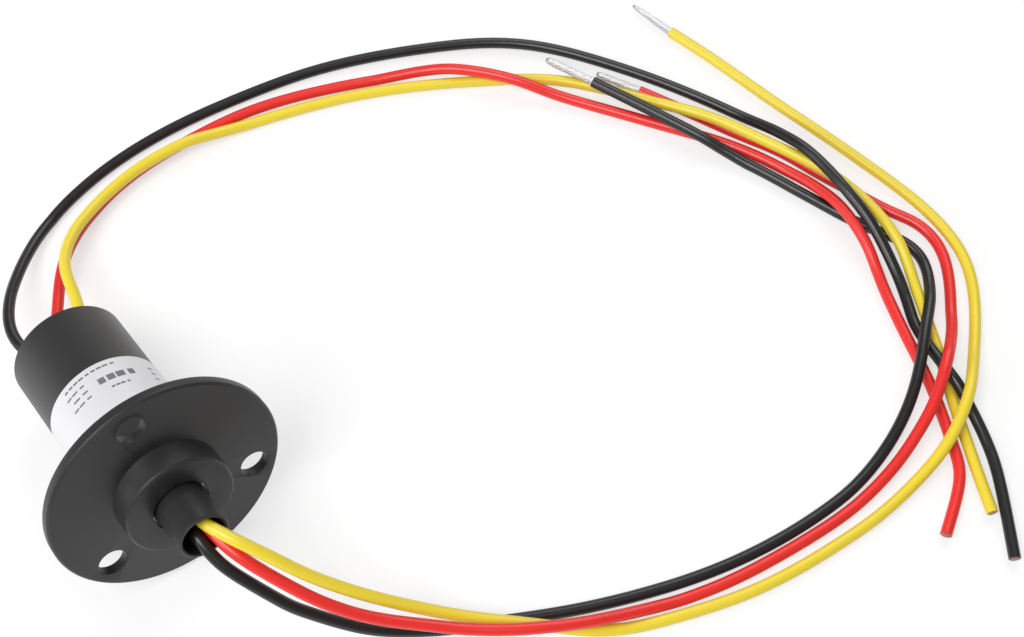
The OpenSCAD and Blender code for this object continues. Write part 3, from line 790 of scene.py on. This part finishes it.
class SLIPRING_OT_rotor_leads(bpy.types.Operator):
    """Lays the three leads that leave the rotor's tube, with their tinned ends"""

    bl_idname = "slipring.rotor_leads"
    bl_label = "Rotor leads"

    def execute(self, context):
        sizes = context.scene.slip_ring_sizes
        for colour in COLOURS:
            line = lead_line("rotor", colour)
            lead = lead_curve(f"rotor_lead_{colour}_insulation", line, sizes.lead_diameter)
            only(lead)
            bpy.ops.object.convert(target="MESH")
            lead = named(bpy.context.object, f"rotor_lead_{colour}_insulation")
            smooth(lead, 60)
            paint(lead, finish(f"lead_{colour}"))
            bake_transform(lead)
            tip = self.tinned_end(colour, line, sizes.tip_diameter)
            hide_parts(f"rotor_lead_{colour}")
        return {"FINISHED"}

    def tinned_end(self, colour, line, diameter):
        """Twisted strands under solder: a lobed rod that winds, tapers and ends round."""
        start, stop = line[-1], Vector(TIPS[colour])
        way = (stop - start).normalized()
        start = start - way * 0.4 * MM
        length = (stop - start).length
        step = length / TIP_RINGS

        def girth(here):
            """Share of the diameter left at a share of the length."""
            slim = 1 + (TIP_SLIM[colour] - 1) * here**1.4
            lumps = 1 + sum(tall * math.sin(wave * here + at) for tall, wave, at in TIP_LUMPS)
            nose = max(0.0, (here - 1 + TIP_NOSE) / TIP_NOSE)
            return slim * lumps * math.sqrt(1 - 0.8 * nose * nose)

        deselect()
        bpy.ops.mesh.primitive_circle_add(
            vertices=TIP_LOBES * 4, radius=diameter / 2, fill_type="NGON"
        )
        tip = named(bpy.context.object, f"tinned_end_{colour}")
        bpy.ops.object.mode_set(mode="EDIT")
        mesh = bmesh.from_edit_mesh(tip.data)
        for vert in mesh.verts:
            angle = math.atan2(vert.co.y, vert.co.x)
            vert.co *= LOBE_VALLEY + LOBE_HEIGHT * abs(math.cos(angle * TIP_LOBES / 2))
        bmesh.update_edit_mesh(tip.data)
        bpy.ops.mesh.select_all(action="SELECT")
        for i in range(TIP_RINGS):
            bpy.ops.mesh.extrude_region_move(TRANSFORM_OT_translate={"value": (0, 0, step)})
            bpy.ops.transform.rotate(
                value=TIP_TWIST / TIP_RINGS, orient_axis="Z", center_override=(0, 0, 0)
            )
            factor = girth((i + 1) / TIP_RINGS) / girth(i / TIP_RINGS)
            bpy.ops.transform.resize(
                value=(factor, factor, 1.0), center_override=(0, 0, step * (i + 1))
            )
        bpy.ops.mesh.select_all(action="SELECT")
        bpy.ops.mesh.normals_make_consistent(inside=False)
        bpy.ops.object.mode_set(mode="OBJECT")
        turn = way.to_track_quat("Z", "Y").to_matrix().to_4x4()
        place(tip, Matrix.Translation(start) @ turn)
        smooth(tip, 50)
        paint(tip, finish("tin"))
        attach(tip, "stator")
        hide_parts(f"tip_{colour}")
        return tip


class SLIPRING_OT_housing(bpy.types.Operator):
    """Turns the sleeve, flange and boss, drills the flange and rounds its edges"""

    bl_idname = "slipring.housing"
    bl_label = "Housing"

    def execute(self, context):
        bolts = mount("flange_bolts")["dims"]
        outline = [
            (SHAFT_HOLE_RADIUS, BOSS_FRONT),
            (BOSS_RADIUS - FRONT_CHAMFER, BOSS_FRONT),
            (BOSS_RADIUS, BOSS_FRONT - FRONT_CHAMFER),
            (BOSS_RADIUS, FLANGE_THICKNESS),
            (FLANGE_RADIUS - FRONT_CHAMFER, FLANGE_THICKNESS),
            (FLANGE_RADIUS, FLANGE_THICKNESS - FRONT_CHAMFER),
            (FLANGE_RADIUS, 0.0),
            (BODY_RADIUS, 0.0),
            (BODY_RADIUS, BODY_REAR + REAR_CHAMFER),
            (BODY_RADIUS - REAR_CHAMFER, BODY_REAR),
            (BORE_RADIUS, BODY_REAR),
            (BORE_RADIUS, BORE_FRONT),
            (BEARING_SEAT_RADIUS, BORE_FRONT),
            (BEARING_SEAT_RADIUS, BEARING_SEAT_FRONT),
            (SHAFT_HOLE_RADIUS, BEARING_SEAT_FRONT),
        ]
        housing = revolved("housing_moulding", outline, steps=160)
        for i in range(bolts["count"]):
            self.drill(housing, bolts, math.radians(90 + BOLT_TURN + i * 360 / bolts["count"]))
        edge = housing.modifiers.new("edge", "BEVEL")
        edge.width = context.scene.slip_ring_sizes.edge_round
        edge.segments = 2
        edge.limit_method = "ANGLE"
        edge.angle_limit = math.radians(35)
        edge.harden_normals = False
        only(housing)
        bpy.ops.object.modifier_apply(modifier=edge.name)
        place(housing, axis_matrix())
        smooth(housing, 30)
        paint(housing, finish("case"))
        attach(housing, "stator")
        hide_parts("housing")
        return {"FINISHED"}

    def drill(self, housing, bolts, turn):
        """Cuts one screw hole through the flange, at a turn about the axis."""
        circle = bolts["pcd_mm"] / 2 * MM
        deselect()
        bpy.ops.mesh.primitive_cylinder_add(
            vertices=48,
            radius=bolts["hole_r_mm"] * MM,
            depth=FLANGE_THICKNESS * 3,
            location=(circle * math.cos(turn), circle * math.sin(turn), FLANGE_THICKNESS / 2),
        )
        drill = bpy.context.object
        only(housing)
        cut = housing.modifiers.new("hole", "BOOLEAN")
        cut.operation = "DIFFERENCE"
        cut.solver = "EXACT"
        cut.object = drill
        bpy.ops.object.modifier_apply(modifier=cut.name)
        bpy.data.objects.remove(drill, do_unlink=True)


class SLIPRING_OT_rotor(bpy.types.Operator):
    """Gives the rotor and the two resin fillings their finishes"""

    bl_idname = "slipring.rotor"
    bl_label = "Rotor"

    def execute(self, context):
        finishes = {"rotor_shaft": "case", "tube_potting": "resin", "rear_potting": "resin"}
        for node, name in finishes.items():
            paint(frame["nodes"][node], finish(name))
        return {"FINISHED"}


class SLIPRING_OT_label(bpy.types.Operator):
    """Wraps the silver label round the sleeve, with round corners and plain ruled bars"""

    bl_idname = "slipring.label"
    bl_label = "Label"

    def execute(self, context):
        length = context.scene.slip_ring_sizes.label_length
        label = self.wrapped(
            "silver_label", (LABEL_FROM, LABEL_TO), (LABEL_FRONT - length, LABEL_FRONT),
            BODY_RADIUS, LABEL_THICKNESS, LABEL_CORNER,
        )
        paint(label, finish("label"))
        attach(label, "stator")
        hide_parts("label")
        bars = []
        for first, last, along, height, count in LABEL_BARS:
            for k in range(count):
                pitch = (last - first) / count
                begin = first + pitch * k
                share = SHORTEST_BAR + BAR_SPREAD * (k * 3 % 4) / 4
                bars.append(
                    self.wrapped(
                        "label_bars", (begin, begin + pitch * share),
                        (along - height / 2, along + height / 2),
                        BODY_RADIUS + LABEL_THICKNESS, INK_THICKNESS, 0.0,
                    )
                )
        only(bars[0])
        for bar in bars:
            bar.select_set(True)
        bpy.ops.object.join()
        printed = named(bpy.context.object, "label_bars")
        paint(printed, finish("ink"))
        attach(printed, "stator")
        return {"FINISHED"}

    def wrapped(self, name, turns, alongs, base, thickness, corner):
        """A thin plate bent round the sleeve, from its base radius outwards."""
        deselect()
        arc = math.radians(turns[1] - turns[0]) * base
        half = (alongs[1] - alongs[0]) / 2
        columns = max(2, math.ceil(arc / LABEL_COLUMN))
        bpy.ops.mesh.primitive_grid_add(x_subdivisions=columns, y_subdivisions=4, size=2.0)
        plate = named(bpy.context.object, name)
        for vert in plate.data.vertices:
            inset = max(0.0, corner - (1 - abs(vert.co.x)) * arc / 2)
            tall = half - corner + math.sqrt(max(0.0, corner**2 - inset**2))
            turn = math.radians(90 + turns[0] + (turns[1] - turns[0]) * (vert.co.x + 1) / 2)
            vert.co = (
                base * math.cos(turn),
                base * math.sin(turn),
                (alongs[0] + alongs[1]) / 2 + vert.co.y * tall,
            )
        only(plate)
        bpy.ops.object.mode_set(mode="EDIT")
        bpy.ops.mesh.select_all(action="SELECT")
        bpy.ops.mesh.normals_make_consistent(inside=False)
        bpy.ops.object.mode_set(mode="OBJECT")
        shell = plate.modifiers.new("film", "SOLIDIFY")
        shell.thickness = thickness
        middle = plate.data.polygons[len(plate.data.polygons) // 2]
        outward = Vector((middle.center.x, middle.center.y, 0)).dot(middle.normal) > 0
        shell.offset = 1.0 if outward else -1.0
        bpy.ops.object.modifier_apply(modifier=shell.name)
        bpy.ops.object.mode_set(mode="EDIT")
        bpy.ops.mesh.select_all(action="SELECT")
        bpy.ops.mesh.normals_make_consistent(inside=False)
        bpy.ops.object.mode_set(mode="OBJECT")
        place(plate, axis_matrix())
        return smooth(plate)


class SLIPRING_OT_inside(bpy.types.Operator):
    """Gives the bearings, rings, brushes and insulators their finishes"""

    bl_idname = "slipring.inside"
    bl_label = "Inside"

    def execute(self, context):
        for name, words in INSIDE.items():
            for node, obj in frame["nodes"].items():
                if any(word in node for word in words):
                    paint(obj, finish(name))
        return {"FINISHED"}


STEPS = ("stage", "stator_leads", "rotor_leads", "housing", "rotor", "label", "inside")


class SLIPRING_PT_panel(bpy.types.Panel):
    """Lists the sizes, the colours and the steps that build the slip ring"""

    bl_idname = "SLIPRING_PT_panel"
    bl_label = "Slip ring"
    bl_space_type = "VIEW_3D"
    bl_region_type = "UI"
    bl_category = "Slip ring"

    def draw(self, context):
        for group in (context.scene.slip_ring_sizes, context.scene.slip_ring_colours):
            box = self.layout.box()
            for name in group.bl_rna.properties.keys():
                if name not in ("rna_type", "name"):
                    box.prop(group, name)
        for step in STEPS:
            self.layout.operator(f"slipring.{step}")


CLASSES = (
    SlipRingSizes,
    SlipRingColours,
    SLIPRING_OT_stage,
    SLIPRING_OT_stator_leads,
    SLIPRING_OT_rotor_leads,
    SLIPRING_OT_housing,
    SLIPRING_OT_rotor,
    SLIPRING_OT_label,
    SLIPRING_OT_inside,
    SLIPRING_PT_panel,
)


def register():
    for cls in CLASSES:
        bpy.utils.register_class(cls)
    bpy.types.Scene.slip_ring_sizes = bpy.props.PointerProperty(type=SlipRingSizes)
    bpy.types.Scene.slip_ring_colours = bpy.props.PointerProperty(type=SlipRingColours)


def unregister():
    del bpy.types.Scene.slip_ring_colours
    del bpy.types.Scene.slip_ring_sizes
    for cls in reversed(CLASSES):
        bpy.utils.unregister_class(cls)


def main():
    register()
    for step in STEPS:
        getattr(bpy.ops.slipring, step)()


if __name__ == "__main__":
    main()
